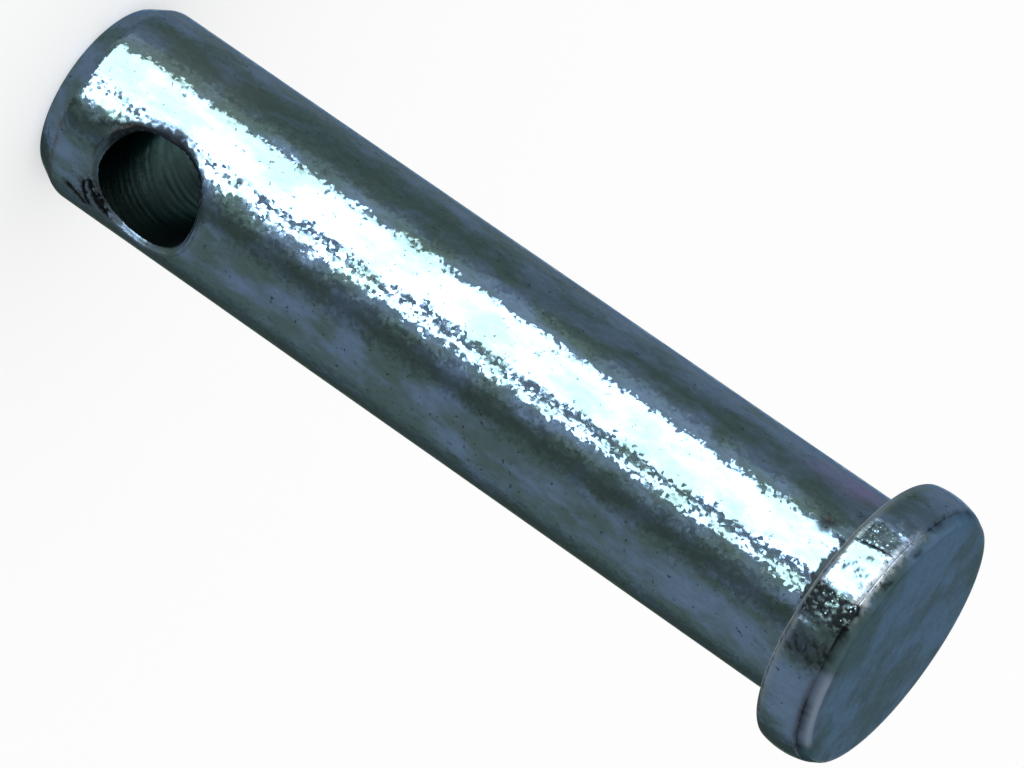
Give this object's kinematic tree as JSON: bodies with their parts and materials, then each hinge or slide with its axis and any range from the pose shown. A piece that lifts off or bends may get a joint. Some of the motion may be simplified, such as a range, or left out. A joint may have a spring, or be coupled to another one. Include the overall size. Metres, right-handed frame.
{
  "type": "clevis pin",
  "caption": "Round steel clevis pin with a flat disc head, a tapered free end and a drilled cross hole for a split pin or clip.",
  "frame": {"origin": "centre of the free end's flat face, on the pin's axis", "axes": "+Z along the pin from the free end to the head; Y along the cross hole; X across both"},
  "size_m": [0.0162, 0.0162, 0.0549],
  "materials": {
    "zinc_plated_steel": "worn bright zinc plate with a faint blue passivate"
  },
  "bodies": {
    "root": {"clevis_pin": "zinc_plated_steel"}
  },
  "joints": []
}
